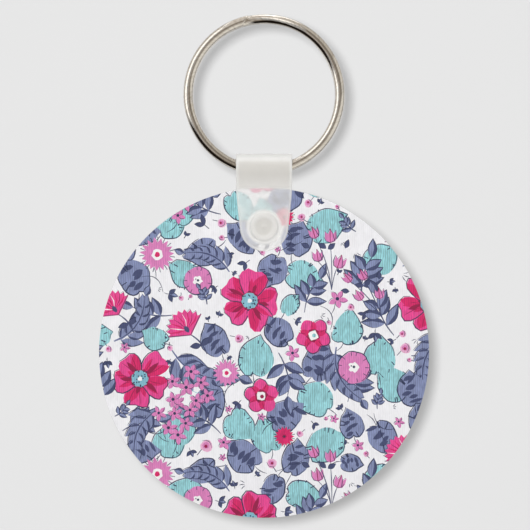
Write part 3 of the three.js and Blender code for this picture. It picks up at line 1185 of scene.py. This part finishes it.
def strap_leg(name, front, material):
    """One leg as a closed moulded plate with rounded edges, bent along the strap's line.

    On the stud half, in front, the outside covers the whole outline. The inside, and the socket
    half's outside, are open round the snap's axis, where the stud or the socket's wall takes over.
    """
    hole = boss_radius if front else socket_radius
    sheet, faces = leg_sheet(front, hole)
    points, covers, warmths = [], [], []
    made_at = {}

    def add_point(x, length, out):
        (y, z), way = strap_line(length)
        y, z = y + way.x * out, z + way.y * out
        points.append((x, -y if front else y, z))
        covers.append(cover_at(x, length))
        warmths.append(warmth_at(x, length, front))
        return len(points) - 1

    def corners(row, outer):
        """The points over some places of the sheet, on the leg's outside or its inside."""
        for i in row:
            if (i, outer) not in made_at:
                x, s = sheet[i]
                height = edge_height(x, s)
                out = height + snap_relief(hypot(x, s), front) if outer else -height
                made_at[i, outer] = add_point(x, s, out)
        return [made_at[i, outer] for i in row]

    def past_hole(face):
        return (sum((Vector(sheet[i]) for i in face), Vector((0, 0))) / len(face)).length > hole

    open_faces = [f for f in faces if past_hole(f)]
    made_faces = [tuple(corners(f, True)) for f in (faces if front else open_faces)]
    made_faces += [tuple(corners(f[::-1], False)) for f in open_faces]
    rims = rim_loops(open_faces)
    edge_loop, hole_loop = max(rims, key=len), min(rims, key=len)
    made_faces += band(corners(edge_loop, True), corners(edge_loop, False))

    before = corners(hole_loop, False)
    angles = [atan2(sheet[i].y, sheet[i].x) for i in hole_loop]
    for radius, out in snap_wall(front):
        if radius == 0.0:
            end = add_point(0, 0, out)
            made_faces += [(before[i - 1], before[i], end) for i in range(len(before))]
        else:
            ring = [add_point(*polar(radius, a), out) for a in angles]
            made_faces += band(ring, before)
            before = ring
    if not front:
        made_faces += band(corners(hole_loop, True), before)
        made_faces = [f[::-1] for f in made_faces]
    made = piece(name, points, made_faces, material)
    point_values(made, "cover", covers)
    point_values(made, "warm", warmths)
    # The milky plastic lets most light through, so it neither shadows nor darkens what is near it.
    made.visible_shadow = False
    made.visible_diffuse = False
    return made


def strap():
    material = frosted_plastic()
    front = strap_leg("strap_front_leg", True, material)
    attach(front, "strap")
    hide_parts("strap_front")
    back = strap_leg("strap_back_leg", False, material)
    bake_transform(back)
    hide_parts("strap_back")


# ---- Stage, in metres: pale wall and floor, soft light, reflections, and the camera ----

CAMERA_DISTANCE = 0.5
CAMERA_RIGHT = 0.00016
CAMERA_UP = 0.0001
FRAME_WIDTH = 0.0920
WALL_DISTANCE = 0.09
WALL_SIZE = 0.9
FLOOR_DROP = 0.035
FLOOR_SIZE = 1.6
WORLD_COLOUR = (0.40, 0.40, 0.40, 1)
KEY_SIZE = 0.015
KEY_OFFSET = Vector((-0.0082, 0, 0.0066))  # from the camera
KEY_LIGHT = 0.31
WALL_KEY_LIGHT = 3.46
CARD_RADIUS = 0.45
BROWN_CARD_RADIUS = 0.44  # in front of the room card

# What the polished ring reflects, as (name, clock, tilt, colour, strength), and a radius for some.
CARDS = [
    ("room_card", (0, 360), (0, 13), (1.0, 0.93, 0.86), 0.52),
    ("white_card", (116, 186), (24, 56), (1.0, 0.985, 0.96), 1.6),
    ("side_card", (116, 186), (58, 96), (1.0, 0.96, 0.9), 0.6),
    ("top_card", (98, 114), (18, 96), (1.0, 0.93, 0.86), 0.7),
    ("brown_card", (196, 272), (4, 18), (1.0, 0.88, 0.74), 0.27, BROWN_CARD_RADIUS),
    ("upper_brown_card", (22, 110), (3, 19), (1.0, 0.88, 0.74), 0.27, BROWN_CARD_RADIUS),
    ("dark_card", (193, 276), (18, 84), (1.0, 0.7, 0.5), 0.012),
    ("thin_dark_card", (14, 88), (20, 29), (1.0, 0.85, 0.7), 0.2),
    ("cream_card", (-76, 12), (15, 66), (1.0, 0.97, 0.9), 0.86),
    ("upper_cream_card", (14, 34), (31, 80), (1.0, 0.96, 0.88), 0.76),
    ("upper_tan_card", (34, 96), (31, 80), (1.0, 0.94, 0.84), 0.56),
]


def stage_piece(name, points, faces, material):
    mesh = bpy.data.meshes.new(name)
    mesh.from_pydata(points, [], faces)
    mesh.materials.append(material)
    made = in_scene(name, mesh)
    return made


def stage_plane(name, centre, size, material, upright):
    """A square that faces the camera if it is upright, or else faces up."""
    half = size / 2
    corners = [(-half, -half), (half, -half), (half, half), (-half, half)]
    flat = [Vector((x, 0, z) if upright else (x, z, 0)) for x, z in corners]
    return stage_piece(name, [corner + centre for corner in flat], [(0, 1, 2, 3)], material)


def object_noise(tree, scale, detail):
    return noise(node(tree, "ShaderNodeTexCoord").outputs["Object"], scale, detail)


def wall_paint():
    """Pale wall that can be seen through from behind."""
    material, tree, shader = new_material(
        "wall_paint", Roughness=0.9, Specular_IOR_Level=0.0, Emission_Color=(1, 1, 1, 1),
        Emission_Strength=0.37)
    paint = mixed(object_noise(tree, 40.0, 2.0), (0.1, 0.1, 0.1, 1), (0.102, 0.102, 0.102, 1))
    feed(shader, dict(Base_Color=paint))
    clear = node(tree, "ShaderNodeBsdfTransparent")
    facing = node(tree, "ShaderNodeNewGeometry").outputs["Backfacing"]
    both = node(tree, "ShaderNodeMixShader", {0: facing, 1: shader.outputs[0], 2: clear.outputs[0]})
    feed(tree.nodes["Material Output"], {"Surface": both.outputs[0]})
    return material


def floor_paint():
    material, tree, shader = new_material("floor_paint", Roughness=0.9)
    paint = mixed(object_noise(tree, 30.0, 3.0), (0.72, 0.72, 0.72, 1), (0.76, 0.76, 0.76, 1))
    feed(shader, dict(Base_Color=paint))
    return material


def lamp(name, kind, place, energy):
    data = bpy.data.lights.new(name, kind)
    data.energy = energy
    made = in_scene(name, data)
    made.location = place
    return made


def key_lamp(name, place, energy):
    """A small soft lamp that reflections don't show."""
    made = lamp(name, "POINT", place, energy)
    made.data.shadow_soft_size = KEY_SIZE / 2
    made.visible_glossy = False
    return made


def reflector(centre, name, clock, tilt, colour, strength, radius=CARD_RADIUS):
    """A card that only reflections see: part of a sphere round the object, on the camera's side.

    clock is its start and end angle as the camera sees it, from the right and turning left over
    the top. tilt is how far from the camera's direction it starts and ends. Both in degrees.
    """
    steps = 12
    points = []
    for i in range(steps + 1):
        for j in range(steps + 1):
            around = radians(clock[0] + (clock[1] - clock[0]) * i / steps)
            away = radians(tilt[0] + (tilt[1] - tilt[0]) * j / steps)
            x, z = polar(sin(away), around)
            points.append(Vector((x, -cos(away), z)) * radius + centre)
    row = steps + 1
    faces = [(i * row + j, i * row + j + 1, (i + 1) * row + j + 1, (i + 1) * row + j)
             for i in range(steps) for j in range(steps)]
    material = bpy.data.materials.new(name)
    material.use_nodes = True
    tree = material.node_tree
    tree.nodes.clear()
    glow = node(tree, "ShaderNodeEmission", {"Color": (*colour, 1.0), "Strength": strength})
    node(tree, "ShaderNodeOutputMaterial", {"Surface": glow.outputs[0]})
    made = stage_piece(name, points, faces, material)
    made.visible_camera = False
    made.visible_diffuse = False
    made.visible_shadow = False
    made.visible_transmission = False


def set_room(middle):
    """An even grey world, a wall behind the keychain and a floor below it."""
    world = bpy.data.worlds.new("pale_room")
    world.use_nodes = True
    world.node_tree.nodes["Background"].inputs["Color"].default_value = WORLD_COLOUR
    bpy.context.scene.world = world
    wall = stage_plane("wall", Vector((0, WALL_DISTANCE, middle.z)), WALL_SIZE, wall_paint(), True)
    floor_place = Vector((0, 0, cad_low.z - FLOOR_DROP))
    floor = stage_plane("floor", floor_place, FLOOR_SIZE, floor_paint(), False)
    floor.visible_glossy = False
    return wall


def set_camera(middle):
    camera = in_scene("camera", bpy.data.cameras.new("camera"))
    camera.location = (CAMERA_RIGHT, -CAMERA_DISTANCE, middle.z + CAMERA_UP)
    camera.rotation_euler = (pi / 2, 0, 0)
    camera.data.sensor_width = 36
    camera.data.lens = camera.data.sensor_width * CAMERA_DISTANCE / FRAME_WIDTH
    camera.data.clip_start = 0.01
    bpy.context.scene.camera = camera
    return camera


def set_lamps(key_place, wall):
    """A small soft lamp beside the camera, once for the keychain and once for the wall's paler paint.

    Their powers make up for the distances. A wide soft lamp above brightens both.
    """
    power = 4 * pi ** 2 * CAMERA_DISTANCE ** 2
    wall_power = 4 * pi ** 2 * (CAMERA_DISTANCE + WALL_DISTANCE) ** 2
    key_lamp("key", key_place, KEY_LIGHT * power)
    wall_key = key_lamp("wall_key", key_place, WALL_KEY_LIGHT * wall_power)
    overhead = lamp("overhead", "AREA", (-0.06, -0.12, 0.5), 1.1)
    overhead.data.size = 0.4
    overhead.rotation_mode = "QUATERNION"
    overhead.rotation_quaternion = (Vector((0, 0, -0.03)) - overhead.location).to_track_quat("-Z", "Y")
    lit = bpy.data.collections.new("lit_by_wall_key")
    lit.objects.link(wall)
    wall_key.light_linking.receiver_collection = lit


def set_stage():
    bpy.context.scene.view_settings.view_transform = "Standard"
    middle = Vector((0, 0, (cad_low.z + cad_high.z) / 2))
    wall = set_room(middle)
    camera = set_camera(middle)
    set_lamps(camera.location + KEY_OFFSET, wall)
    for card in CARDS:
        reflector(middle, *card)


# ---- Build ----

set_stage()
split_ring()
disc_core()
film = printed_film()
shapes = floral_print(PRINT_SEED)
printed_sheet("front_film", "front_print", -1, shapes, film)
printed_sheet("back_film", "back_print", 1, shapes, film)
strap()
